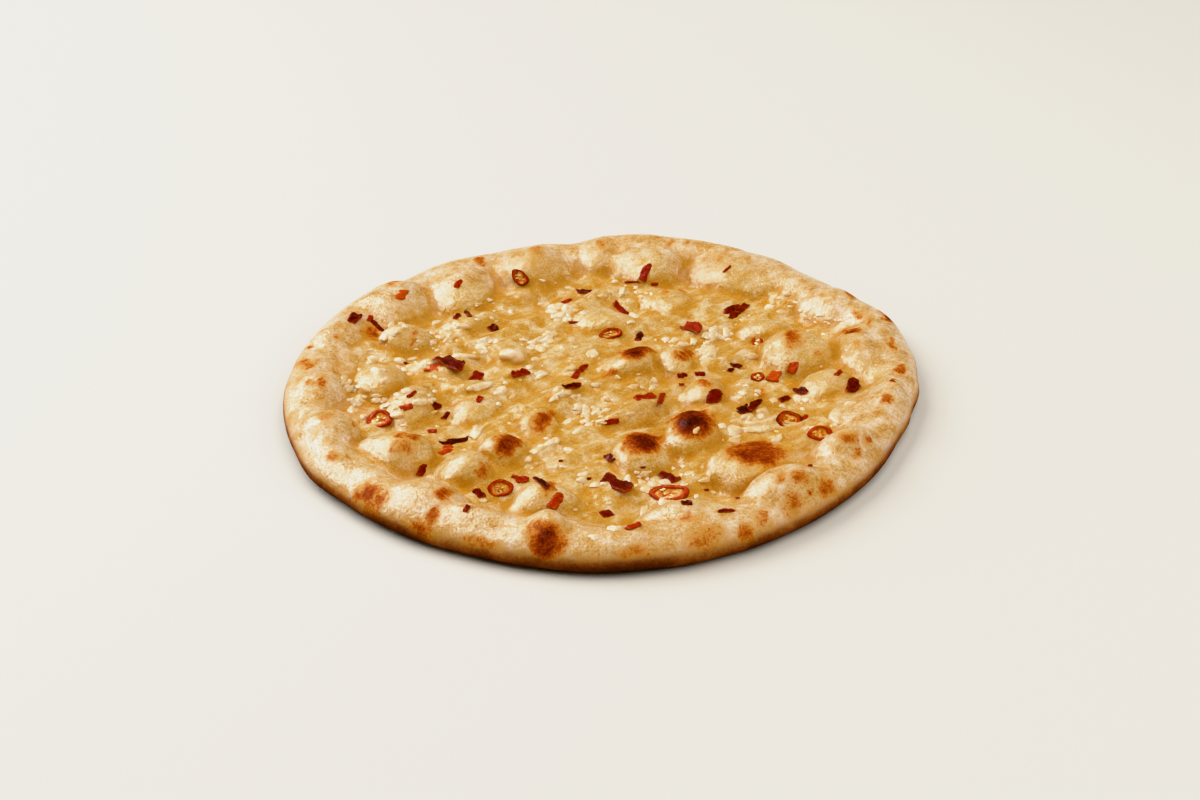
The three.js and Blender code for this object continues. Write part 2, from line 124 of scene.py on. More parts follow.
# Browned patches as seen: x, y on the reading plane, then half length, half width and turn square to
# the line of sight, and strength (0.3 golden to 1 charred)
BROWNED = [
    # blister caps
    [35, -33, 11.6, 8.2, 0, 0.93], [16, -47, 10.6, 7.2, 10, 0.86], [14, 22, 9, 6, 15, 0.84],
    [58, -56, 16, 7, 0, 0.76], [-35, -48, 8.4, 6.4, 30, 0.73], [-22, -32, 8.5, 5.5, 10, 0.62],
    [-19.5, -114, 10, 9, 0, 0.76], [33, 19, 6.5, 4.5, 20, 0.55], [41, -4, 7, 2.5, 0, 0.45],
    [78, 33, 7, 6, 60, 0.55], [87, 20, 3, 3, 0, 0.4], [62, -12, 4.5, 4, 0, 0.4],
    [-74, -51, 7, 6, 0, 0.36], [-74, -43, 12, 2, -12, 0.45], [-44, -66, 5, 5, 90, 0.5],
    [-19, -79, 8, 3, 40, 0.5], [3, 3, 6, 2.5, 20, 0.45],
    # left rim
    [-57, -83, 6, 4, 0, 0.55], [-84, -84, 8.5, 6.5, -20, 0.58], [-100, -59, 5, 4, 0, 0.4],
    [-105, -28, 5, 3, 0, 0.4], [-94, -35, 3, 2, 0, 0.4], [-109, -4, 6, 3, 80, 0.42],
    [-114, -2, 5, 3, 0, 0.4], [-117, 11, 4, 3.5, 0, 0.5], [-105.5, 32, 4, 3, 0, 0.38],
    [-116.5, 25, 2.5, 2, 0, 0.5], [-104.5, 11, 3, 2.5, 0, 0.35], [-75.5, 37.5, 4, 3, 60, 0.42],
    [-75, 28.5, 3, 2.5, 0, 0.38], [-84.5, -5, 3, 2, 0, 0.35], [-93, 37, 8, 3, -55, 0.55],
    # back rim
    [-88, 79, 4, 3, 0, 0.4], [0.5, 114.5, 4, 4, 90, 0.4], [29.5, 115.5, 4, 3, 60, 0.42],
    [37.5, 115, 3, 2.5, 0, 0.4], [-27, 109, 6, 3, 10, 0.4], [-51, 99, 5, 3, -30, 0.42],
    [27, 70, 4, 3, 0, 0.36], [33, 72, 3, 2.5, 0, 0.34], [97, 80, 3, 2, -40, 0.6],
    [118, 51, 5, 4, 30, 0.8], [104, 69.5, 5, 3, -40, 0.45], [93, 67, 4, 3, 0, 0.35],
    # right rim
    [106, 52, 4, 3, 0, 0.4], [110, 46, 4, 3, 60, 0.42], [102.5, 26.5, 4, 3, 0, 0.34],
    [117, 27, 5, 3, 80, 0.5], [118, 7, 4, 3, 80, 0.45], [101, 38, 7, 1.6, 10, 0.7],
    [111, -15, 4, 3, 30, 0.42], [115, -3, 1.6, 1.2, 0, 1.0], [93, -45, 6, 4, 20, 0.5],
    [101, -47, 4, 3, 0, 0.4], [95, -56, 5, 3, 60, 0.4],
    # front right rim
    [66, -73, 5, 3, 30, 0.4], [74, -72, 6, 4, 0, 0.46], [82, -79, 6, 5, 60, 0.56],
    [70, -90, 8, 6, 50, 0.44], [58, -100, 7, 5, 70, 0.34], [76, -82, 1.2, 1, 0, 1.0],
    [37, -112, 12, 6, 15, 0.42], [52, -111, 5, 7, 10, 0.52], [33, -100, 7, 3, 20, 0.36],
    [90, -84, 9, 4, 35, 0.36], [-64, -107, 6, 4, -30, 0.55], [-61, -98, 6, 4, 60, 0.48],
    [-82, -100, 13, 4.5, -36, 0.46], [-65, -109, 13, 5, -25, 0.48], [-96, -87, 11, 3.5, -44, 0.42],
    [-43, -117, 12, 5, -16, 0.42], [12, -122, 10, 4, 0, 0.45],
]

# Chilli flakes as seen: x, y, length, width, turn, tone (0 charred, 0.2 dark, 1 bright orange-red)
FLAKES = [
    [-101, 48, 8, 5, 75, 0.15], [-94.5, 48, 4, 2.5, 80, 0.5], [-91, 42, 12, 2.2, -60, 0.2],
    [-83, 69, 8, 5, 80, 0.95], [-59, 50, 4, 2.5, 60, 0.2], [-55, 53, 5, 2.5, -60, 0.1],
    [-44, 39.5, 7, 4, -65, 0.1], [-15, 62, 7, 2.5, 55, 0.5], [-11, 45, 4, 2, 0, 0.4],
    [-7, 71, 6, 3.5, 0, 0.1], [8, 56, 12, 3.2, -65, 0.4], [18.5, 89, 15, 4, 80, 0.5],
    [13, 80, 6, 2, 10, 0.3], [22.5, 78, 3, 3, 0, 0.6], [53.5, 91.5, 6, 1.2, 60, 0.4],
    [37, 40, 8, 6.5, -25, 0.5], [15.5, 33, 6, 3.5, 80, 0.0], [-60, 12, 13, 6.5, -35, 0.12],
    [-66.5, 7.5, 7, 6, 0, 0.9], [-49, 0, 9, 5, 75, 0.4], [-77, 11, 4, 1.2, -40, 0.2],
    [-32, 3, 7, 5, 20, 0.4], [-7.5, 7.5, 6, 3, 60, 0.4], [-10, 2, 5, 3, 75, 0.5],
    [-12, -7, 8, 4, 15, 0.1], [17, -15, 8, 6, 30, 0.5], [23.5, -15, 8, 2.5, 80, 0.5],
    [44, -14, 10, 6, 75, 0.25], [32, 2.5, 4, 4, 0, 0.3], [39, 3.5, 4, 3.5, 0, 0.3],
    [31.5, -5, 2, 2, 0, 0.5], [53, 10, 5.5, 4, -20, 0.1], [51, 6, 3, 2.5, 60, 0.1],
    [76, 8, 9, 4, 80, 0.85], [78, -10, 5, 5, 30, 0.1], [98.5, -5.5, 11, 5, 75, 0.15],
    [93.5, 4, 4, 2.5, 60, 0.5], [71, -16, 5, 3.5, 40, 0.15], [55, -24, 7, 5, 40, 0.05],
    [59, -21, 8, 4, 60, 0.1], [78, -30, 4, 2, 70, 0.5], [-64, -21, 6, 4, -60, 0.2],
    [-59.5, -29, 5, 2.5, 70, 0.2], [-64, -40, 3.5, 2.5, 0, 0.5], [-73.5, -12.5, 5, 2, 60, 0.4],
    [-47, -16.5, 4, 2.5, 80, 0.5], [-55, -47, 13, 5, 15, 0.1], [-58, -54, 7, 6, 70, 0.85],
    [-66.5, -67.5, 8, 3, 80, 0.3], [-44.5, -83, 6, 3.5, -60, 0.2], [-48.5, -93.5, 4, 2, 70, 0.2],
    [-29, -74, 5, 4.5, 0, 0.6], [-32, -72, 2, 2, 0, 0.5], [-22, -76, 8, 2.5, -55, 0.0],
    [-16.5, -88, 10, 4.5, 70, 0.8], [6, -77, 13, 7, -35, 0.15], [25, -72, 8, 5, -50, 0.2],
    [31, -89.5, 4, 3.5, 0, 0.05], [2, -97, 4.5, 4.5, 20, 0.2], [11.5, -105, 6, 2.5, 35, 0.7],
    [45, -95, 6, 2, 10, 0.15], [3.5, -59, 5, 4, -60, 0.15], [4, -33, 6, 4, 20, 0.5],
    [54, 54, 14, 7, 80, 0.2], [58, 56, 8, 4, 60, 0.2], [68, 1, 8, 5, 75, 0.95],
    [-15, -61, 1.6, 1.3, 0, 0.3], [-4.5, -73.5, 1.6, 1.3, 0, 0.2], [15.5, -65.5, 1.8, 1.4, 0, 0.3],
    [77.5, -64.5, 1.6, 1.2, 0, 0.2], [49.8, -86.5, 1.6, 1.2, 0, 0.2], [38.5, -81, 1.6, 1.2, 0, 0.2],
    [-60, 78, 6, 3, 80, 0.6], [-75, -22, 5, 4, 20, 0.8],
]

# Chilli rings as seen: x, y, length, width, turn, tone
CHILLI_RINGS = [
    [-84.5, -31.5, 13, 9.6, 85, 0.6], [-37, -80, 12, 9.6, 80, 0.6], [71.5, -32, 13, 9.8, 85, 0.25],
    [83, -41.5, 11, 9.8, 80, 0.75], [25, -83.5, 15, 11, 10, 0.75], [61.5, 0, 7, 5.5, 80, 0.5],
    [-34, 84, 15, 6.5, 105, 0.3], [4, 35, 11, 8, 45, 0.5], [63, 28, 8, 4.5, 80, 0.6],
]
RING_LEAN = 0.35        # how far the rings are tipped to the viewer, as a slope
SEEDS_A_RING = 5
SEED_SIZE = np.array([0.95, 0.6, 0.3])  # half length, half width, half thickness
SEED_LIFT = 0.95        # how far up in its ring a seed lies

# Garlic bits as seen: x, y, length, width, turn
GARLIC = [
    [-18, 58, 6, 5, 20], [-14, 55, 7, 5, 80], [-17, 50, 6, 5, 40], [-20, 54, 5, 4, 0],
    [-35, 19, 9, 7, -15], [-27, 29, 5, 5, 0], [-22, 30, 5, 4.5, 60], [-24, 24, 5, 5, 20],
    [-28, 24, 4.5, 4, 0], [-26, 14, 5, 4, 0], [-4, 20, 5, 5, 0], [-12, 8, 5, 3, 60],
    [-24, 3, 5, 4, 0], [-46, -6, 10, 4, 25], [-39, -9.5, 6, 4.5, 80], [-34.5, -13.5, 5, 2, 70],
    [-17.5, -14, 8, 2, 60], [-14, -12, 5, 3, 40], [-2, -5, 3.5, 3, 0], [2, -16, 3.5, 3, 0],
    [12.5, -6.5, 4, 3, 0], [-6, -25, 9, 4, 85], [-2, -25, 7, 3, 80], [-13, -33, 4.5, 4, 0],
    [-9, -22, 5, 4, 60], [0, -33, 4, 3, 0], [-8, -39, 5, 3, 30], [11, -27, 4, 3, 0],
    [26, 31, 5, 3, 80], [29.5, 30.5, 5, 3, 60], [33, 27, 5, 3.5, 20], [37, 29, 5, 3, 80],
    [42, 27, 5, 3, 70], [45, 34, 12, 5, 80], [51, 37, 8, 4, 80], [43, 17, 11, 6, 75],
    [59.5, 17.5, 5, 4, 0], [62, -26, 5, 4, 20], [57, -30, 5, 3, 40], [58, -34, 7, 3, 0],
    [50, -40, 8, 5, 70], [57, -39, 6, 4, 0], [62.5, -38, 5, 3.5, 60], [50, -46.5, 5, 3.5, 30],
    [66.5, -45, 5, 3, 60], [90, -29, 10, 4.2, 78], [96, -19.5, 5, 3, 0], [81, -37.5, 4, 3, 0],
    [79, -17, 4, 3, 60], [-21, -50, 15, 4, 45], [-27, -60, 6, 3.5, 80], [-12, -53, 4, 3, 0],
    [-18.5, -66, 4, 3, 0], [-7, -74, 4, 3, 0], [-7, -70, 4, 2.5, 30], [-2, -77, 4, 3, 0],
    [10, -73, 7, 2.2, 80], [14, -78, 4, 3, 0], [19.5, -74, 6, 3.5, 70], [23.5, -76, 4, 3.5, 0],
    [16, -70, 4, 3, 60], [33, -70, 4, 3, 0], [38, -74, 4, 3, 30], [15.5, -95, 7, 2.5, 80],
    [5, -106, 5, 3, 0], [-2, -112, 5, 3, -20], [22.5, -88, 5, 3.5, 60], [1, -77, 3, 2.5, 0],
    [36, -39, 4.5, 2, 75], [-47.5, -39, 9, 4, 80], [-48, 26, 7, 4, 80], [-57, 42, 5, 4, 0],
    [-67.5, 45, 5, 3, 60], [-54, 18, 9, 3, 10], [-101, -1, 6, 3.5, 80], [-93, -17, 4, 3, 0],
    [-94.5, -20, 4, 3, 30], [-96, -25, 6, 4, 80], [-91, -29, 4, 3, 0], [-87, -17, 4, 3, 0],
    [-83.5, -22, 4, 3, 60], [-87, 35, 9, 3, 75], [-85.5, 44, 5, 2, 80], [9, 73, 8, 2, 85],
    [6, 80, 4, 2.5, 0], [-13, 74, 4, 3, 0], [14, 50, 6, 5, 20], [12, 45, 4, 3, 0],
    [77.5, 70, 4, 3, 60], [70, 58, 4, 3, 0], [74, 54, 4, 3, 20], [90, 51, 4, 2.5, 0],
    [-88, 5, 6, 5, 0], [-84, -2, 5, 4, 30], [-92, -8, 5, 4, 60], [-80, 14, 5, 4, 0],
    [-76, -10, 5, 4, 0], [-70, -18, 5, 4, 60], [-78, -28, 5, 4, 0],
]
# Where garlic lies thick: x, y, half width, half depth, how many bits, their size
GARLIC_HEAPS = [
    [-91, 13, 8, 10, 12, 3.6], [-97, -5, 5, 7, 8, 3.6], [-93, -15, 6, 7, 9, 3.6], [-80, -20, 5, 8, 6, 3.2],
    [-82, 38, 5, 8, 6, 3.0], [-68, 27, 7, 8, 7, 3.2], [-59, 35, 6, 9, 9, 3.6], [-47, 31, 4, 6, 5, 3.4],
    [-22, 29, 8, 8, 10, 3.8], [-12, 54, 7, 10, 10, 3.6], [-17, 51, 5, 6, 6, 3.4], [46, 35, 6, 10, 10, 4.0],
    [42, 21, 6, 6, 8, 3.8], [58, -26, 6, 8, 8, 4.0], [49, -40, 5, 6, 6, 3.6], [-4, -27, 7, 8, 10, 3.2],
    [57, -9, 5, 6, 5, 3.4], [-75, 10, 6, 8, 6, 3.0], [-66, -17, 7, 8, 7, 3.0], [16, -75, 10, 9, 8, 3.2],
    [-15, -12, 9, 8, 7, 2.8], [10, 70, 12, 8, 8, 2.6], [80, 62, 10, 10, 7, 2.8], [92, 45, 8, 10, 6, 2.6],
    [-30, 5, 10, 8, 7, 2.8], [66, -40, 7, 7, 7, 3.2], [30, -72, 10, 8, 6, 2.6], [-45, 55, 14, 10, 8, 2.4],
]
SPREAD_GARLIC = 90      # small bits between the larger ones, spread by rule
SPREAD_REACH = 96.0     # how far out they lie
SPREAD_SHIFT = -3.0     # of their middle, to the front
SLIVER = 10.5           # a garlic bit at least this long is a row of small ones
SLIVER_STEP = 3.4       # from one of those to the next
CLEAR_SHARE = 0.32      # garlic keeps this share of a chilli's length and width away from its middle


# -------- shared helpers
def seeded(seed):
    """The same numbers every time, from 0 to 1."""
    state = seed
    while True:
        state = (1664525 * state + 1013904223) % 4294967296
        yield state / 4294967296


def make_waves(seed, count, length):
    """Smooth unevenness: waves of about the given length, in seeded directions."""
    random = seeded(seed)
    waves = []
    for _ in range(count):
        heading = 2 * math.pi * next(random)
        pitch = 2 * math.pi / (length * (0.7 + 0.8 * next(random)))
        waves.append((pitch * math.cos(heading), pitch * math.sin(heading), 2 * math.pi * next(random)))
    scale = math.sqrt(2 / count)
    return lambda x, y: scale * sum(np.sin(kx * x + ky * y + phase) for kx, ky, phase in waves)


roll = make_waves(7, 9, 34)
warp_x = make_waves(11, 6, 26)
warp_y = make_waves(12, 6, 26)
pleats = make_waves(19, 8, 13)


def smoothstep(t):
    c = np.clip(t, 0, 1)
    return c * c * (3 - 2 * c)


def fractal(x, y, length, octaves, offset):
    """Natural unevenness of about the given wavelength, from about -1 to 1, point by point. Each offset
    gives another."""
    scale = 1 / length
    weakening, refining = 0.8, 2.1  # from each octave to the next
    return np.array([
        noise.fractal(Vector((px * scale, py * scale, offset)), weakening, refining, octaves)
        for px, py in zip(x, y)
    ])


def new_object(name, data):
    made = bpy.data.objects.new(name, data)
    bpy.context.scene.collection.objects.link(made)
    return made


def mesh_object(name, points, faces):
    """A smooth-shaded object from points in millimetres."""
    mesh = bpy.data.meshes.new(name)
    mesh.from_pydata([tuple(p) for p in np.asarray(points) * MM], [], [tuple(map(int, f)) for f in faces])
    mesh.validate()
    mesh.shade_smooth()
    return new_object(name, mesh)


def point_values(piece, **values):
    """Gives each point of a piece its own value under each name, for the material to read."""
    for name, value in values.items():
        attribute = piece.data.attributes.new(name, "FLOAT", "POINT")
        attribute.data.foreach_set("value", np.asarray(value, dtype=np.float32))


# -------- the bread's form
def rim_value(angle, column):
    """The rim's outer radius (1) or crest height (2) at an angle, smooth from station to station."""
    turn = np.degrees(angle) % 360
    i = np.searchsorted(RIM[:, 0], turn, side="right") - 1
    j = (i + 1) % len(RIM)
    span = (RIM[j, 0] - RIM[i, 0]) % 360
    t = smoothstep((turn - RIM[i, 0]) / span)
    return RIM[i, column] + (RIM[j, column] - RIM[i, column]) * t


def edge_inset(x, y):
    """How far inside the outer edge a point lies."""
    return rim_value(np.arctan2(y, x), 1) - np.hypot(x, y)


def soft_max(a, b, width):
    """The greater of two heights, with a fillet where they are within the given width."""
    near = np.clip(1 - np.abs(a - b) / width, 0, 1)
    return np.maximum(a, b) + 0.25 * width * near * near


def turned(x, y, angle):
    """A place measured along axes turned by an angle."""
    return x * math.cos(angle) + y * math.sin(angle), y * math.cos(angle) - x * math.sin(angle)


def oval_span(x, y, length, width, turn):
    """How far out a point lies from the middle of an oval: 1 on its outline."""
    u, v = turned(x, y, math.radians(turn))
    return np.hypot(u / length, v / width)


def fold_rise(fold, x, y):
    x0, y0, x1, y1, width, height = fold
    along = ((x - x0) * (x1 - x0) + (y - y0) * (y1 - y0)) / ((x1 - x0) ** 2 + (y1 - y0) ** 2)
    t = np.clip(along, 0, 1)
    distance = np.hypot(x - x0 - t * (x1 - x0), y - y0 - t * (y1 - y0))
    return height * np.exp(-(distance / width) ** 2)


def crown_parts(x, y):
    """The upper surface before its outer edge is rounded over, how far each point is on a puff, and
    how near a puff's foot."""
    inward = smoothstep((RIM_FOOT - edge_inset(x, y)) / (RIM_FOOT - CREST_INSET))
    rise = (rim_value(np.arctan2(y, x), 2) - FLOOR) * inward
    wx = x + WARP * warp_x(x, y)
    wy = y + WARP * warp_y(x, y)
    on_puff, at_foot = np.zeros_like(x), np.zeros_like(x)
    for cx, cy, length, width, turn, tall in PUFFS:
        span = oval_span(wx - cx, wy - cy, length, width, turn)
        gap = (span - 1) * min(length, width)
        one = tall * np.clip(1 - span * span, 0, 1) ** STEEPNESS - np.clip(gap, 0, None)
        rise = soft_max(rise, one, CREASE)
        proud = min(tall / PROUD_HEIGHT, 1)
        on_puff = np.maximum(on_puff, proud * smoothstep((1.02 - span) / 0.22))
        at_foot = np.maximum(at_foot, proud * np.exp(-((gap - FOOT_OUT) / FOOT_WIDTH) ** 2))
    # not where a puff's foot lies high on its neighbour
    at_foot *= 1 - smoothstep((rise - 3) / 4)
    height = ROLL_HEIGHT * roll(x, y) * (1 - 0.6 * inward)
    along, across = turned(x, y, PLEAT_TURN)
    flat = (1 - inward) * (1 - on_puff)
    height += PLEAT_HEIGHT * pleats(along / PLEAT_STRETCH, across) * flat
    height += sum(fold_rise(fold, x, y) for fold in FOLDS) * (1 - 0.7 * on_puff)
    return FLOOR + rise + height, on_puff, at_foot


def hollow_share(x, y):
    """1 deep in a crease between puffs, 0 on level or crowned ground."""
    around = 0
    for k in range(HOLLOW_SAMPLES):
        a = 2 * math.pi * k / HOLLOW_SAMPLES
        around = around + crown_parts(x + HOLLOW_REACH * math.cos(a), y + HOLLOW_REACH * math.sin(a))[0]
    depth = around / HOLLOW_SAMPLES - crown_parts(x, y)[0]
    return smoothstep((depth - 0.15) / 0.8)


def top_points(angle, inset):
    """Points of the top, the given distance inside the outer edge."""
    r = rim_value(angle, 1) - inset
    x, y = r * np.cos(angle), r * np.sin(angle)
    t = np.minimum(inset / TOP_ROUND, 1)
    rounding = np.sqrt(np.clip(1 - (1 - t) ** 2, 0, 1))
    return np.stack([x, y, EDGE_HEIGHT + (crown_parts(x, y)[0] - EDGE_HEIGHT) * rounding], axis=1)


def round_angles(count):
    return 2 * math.pi * np.arange(count) / count


def ring_start(k):
    """How many points lie inside ring k of a disc: the middle one, and 6 more in each ring outwards."""
    return 3 * k * (k - 1) + 1 if k else 0


def disc_faces(first, rings, flip):
    """Triangles of a disc whose ring k has 6k points, and whose middle is the given first point."""
    faces = []
    for k in range(1, rings + 1):
        sector, i = np.divmod(np.arange(6 * k), k)
        o = sector * k + i
        n = sector * (k - 1) + i
        inner_count = max(6 * (k - 1), 1)
        outer, inner = first + ring_start(k), first + ring_start(k - 1)
        outer0, outer1 = outer + o, outer + (o + 1) % (6 * k)
        inner0, inner1 = inner + n % inner_count, inner + (n + 1) % inner_count
        faces.append(np.stack([outer0, outer1, inner0], axis=1))
        keep = i < k - 1
        faces.append(np.stack([outer1, inner1, inner0], axis=1)[keep])
    faces = np.concatenate(faces)
    return faces[:, ::-1] if flip else faces


def bread_mesh():
    """Points and faces of the whole bread: top, edge rows and underside."""
    points = []
    for k in range(RINGS + 1):
        angle = round_angles(max(6 * k, 1))
        reach = rim_value(angle, 1) - FIRST_INSET
        points.append(top_points(angle, rim_value(angle, 1) - reach * k / RINGS))
    faces = [disc_faces(0, RINGS, False)]
    previous, total = ring_start(RINGS), ring_start(RINGS + 1)

    angle = round_angles(RIM_POINTS)
    here = np.arange(RIM_POINTS)
    after = (here + 1) % RIM_POINTS
    rows = []
    for d in TOP_ROWS[1:]:
        inset = TOP_ROUND * (1 - math.cos(math.radians(d)))
        rows.append(top_points(angle, np.full(RIM_POINTS, inset)))
    for d in UNDER_ROWS:
        a = math.radians(d)
        r = rim_value(angle, 1) - UNDER_ROUND * (1 - math.cos(a))
        z = np.full(RIM_POINTS, EDGE_HEIGHT * (1 - math.sin(a)))
        rows.append(np.stack([r * np.cos(angle), r * np.sin(angle), z], axis=1))
    for row in rows:
        points.append(row)
        faces.append(np.stack([previous + here, total + here, total + after], axis=1))
        faces.append(np.stack([previous + here, total + after, previous + after], axis=1))
        previous = total
        total += RIM_POINTS

    # the underside: a disc with half the points round it, joined on two to one
    under_rings = RINGS // 2
    for k in range(under_rings + 1):
        angle = round_angles(max(6 * k, 1))
        r = (rim_value(angle, 1) - UNDER_ROUND - 1.5) * k / under_rings
        points.append(np.stack([r * np.cos(angle), r * np.sin(angle), np.zeros_like(r)], axis=1))
    faces.append(disc_faces(total, under_rings, True))
    half = RIM_POINTS // 2
    i = np.arange(half)
    outer = total + ring_start(under_rings)
    inner0, inner1 = outer + i, outer + (i + 1) % half
    rim0, rim1, rim2 = [previous + (2 * i + n) % RIM_POINTS for n in range(3)]
    faces.append(np.stack([inner0, rim1, rim0], axis=1))
    faces.append(np.stack([inner0, inner1, rim1], axis=1))
    faces.append(np.stack([inner1, rim2, rim1], axis=1))
    return np.concatenate(points), np.concatenate(faces)


def inside_share(x, y):
    """1 on the oily floor inside the rim, 0 on the dry rim, with an uneven border."""
    border = OIL_BORDER + 0.03 * y + 5 * warp_x(x, y)
    return smoothstep((edge_inset(x, y) - border) / OIL_BLEND + 0.5)


def add_fine_relief(points):
    """Small lumps and wrinkles on the top, and a slightly uneven underside. Gives how light each point
    is drawn: up to 1 on a lump or a puff, below 0 in a crease and at a puff's foot, where the darker gold it
    brings is painted shade, partly oil gathered there."""
    x, y, z = points.T
    inside = inside_share(x, y)
    _, on_puff, at_foot = crown_parts(x, y)
    flat = inside * (1 - on_puff)
    lumps = smoothstep(fractal(x, y, 7.5, 2, 3.1) / 0.5 + 0.45)
    beads = smoothstep(fractal(x, y, 3.6, 2, 9.3) / 0.5 + 0.45)
    wrinkles = fractal(x * 0.8 + y * 0.6, (y * 0.8 - x * 0.6) * 2.1, 9, 3, 7.7)
    swell = fractal(x, y, 16, 2, 17.7)
    grain = fractal(x, y, 2.6, 3, 12.4)
    relief = flat * (0.45 * lumps + 0.25 * beads + 0.35 * wrinkles - 0.4)
    relief += (1 - flat) * (0.35 * swell + 0.1 * lumps) + grain * (0.07 + 0.05 * flat)
    # fades out down the outer wall, so that the outline keeps its size
    points[:, 2] += relief * smoothstep((z - EDGE_HEIGHT + 1.5) / 4)
    dents = np.clip(0.35 * fractal(x, y, 14, 3, 21.5) + 0.1, 0, 0.6)
    points[:, 2] += dents * smoothstep((0.3 - z) / 0.3)
    # painted shade: creases between rim puffs and a puff's foot get a low value, which darkens the crust's
    # colour
    light = (0.6 * lumps + 0.4 * beads) * flat + (1 - flat) * (0.75 - 0.9 * hollow_share(x, y))
    return light - 0.6 * at_foot


bread_points, bread_faces = bread_mesh()
lightness_and_crease_shade = add_fine_relief(bread_points)
bread_tree = BVHTree.FromPolygons([Vector(p) for p in bread_points], bread_faces.tolist())


def seen_at(x, y):
    """Where the viewer's line through a place on the reading plane meets the bread, and the normal there."""
    target = Vector((x + SEEN_SHIFT[0], y + SEEN_SHIFT[1], SEEN_HEIGHT))
    hit = None
    while hit is None:
        hit, normal, _, _ = bread_tree.ray_cast(VIEW_FROM, (target - VIEW_FROM).normalized())
        # a place read just off the bread's edge moves in until it is on it
        target.xy *= 0.995
    return hit, normal


def lay(points, place, normal, turn, sink, level=0.5, lean=0.0):
    """Lays a shape made on z = 0 on the bread at a place, leaning part of the way with its slope, and
    towards the viewer. Its outline is stretched as far as it is foreshortened for the viewer."""
    up = (Vector((0, 0, 1)).lerp(normal, level) + Vector((0, -lean, 0))).normalized()
    look = (place - VIEW_FROM).normalized()
    axes = []
    for degrees in (turn, turn + 90):
        a = math.radians(degrees)
        flat = Vector((math.cos(a), math.sin(a), 0))
        axes.append(flat - look * (flat.dot(up) / look.dot(up)))
    m = np.array([axes[0], axes[1], up])
    return points @ m + np.array(place) - np.array(up) * sink


# -------- browning, and the low wall's toast and painted shade
def browning(points):
    """How browned each point is, from 0 to about 1.1."""
    x, y, z = points.T
    eye = np.array(VIEW_FROM)
    # each point as read on the reading plane
    reach = (SEEN_HEIGHT - eye[2]) / (z - eye[2])
    wx = eye[0] + (x - eye[0]) * reach - SEEN_SHIFT[0]
    wy = eye[1] + (y - eye[1]) * reach - SEEN_SHIFT[1]
    dy_seen = math.sin(VIEW_ELEVATION)
    wx = wx + 2.2 * fractal(x, y, 8, 3, 31.0) + 0.9 * fractal(x, y, 2.4, 2, 33.0)
    wy = wy + 2.8 * fractal(x, y, 8, 3, 47.0) + 1.2 * fractal(x, y, 2.4, 2, 49.0)
    toast = np.zeros(len(points))
    for sx, sy, length, width, turn, strength in BROWNED:
        place, _ = seen_at(sx, sy)
        span = oval_span(wx - sx, (wy - sy) * dy_seen, length, width, turn)
        # not on what lies hidden behind
        away = np.clip(np.hypot(x - place.x, y - place.y) / (1.4 * length + 3) - 1, 0, None)
        fade = strength * (1 - smoothstep((span - 0.1) / 1.15)) * np.exp(-8 * away)
        toast = np.maximum(toast, fade) + 0.15 * np.minimum(toast, fade)
    # uneven browning low on the outer wall
    low = smoothstep((14 - z) / 8) * (1 - inside_share(x, y))
    uneven = smoothstep((fractal(x + 1.5 * z, y + 1.5 * z, 13, 3, 61.0) + 0.3) / 0.6)
    return np.maximum(toast, 0.3 * low * uneven)


def low_wall_toast_and_shade(points):
    """1 low on the outer wall and on the underside, which is baked all over, and 0 on the top. The wall is
    drawn darker towards the bottom, partly toast and partly painted shade where it curves under.
    """
    x, y, z = points.T
    low = smoothstep((EDGE_HEIGHT + 8 - z) / 13)
    # the top's floor is as low as the wall, but lies inside the rim
    outer = 1 - smoothstep((edge_inset(x, y) - 7) / 6)
    return np.where(z > 2.5, low * outer, low)


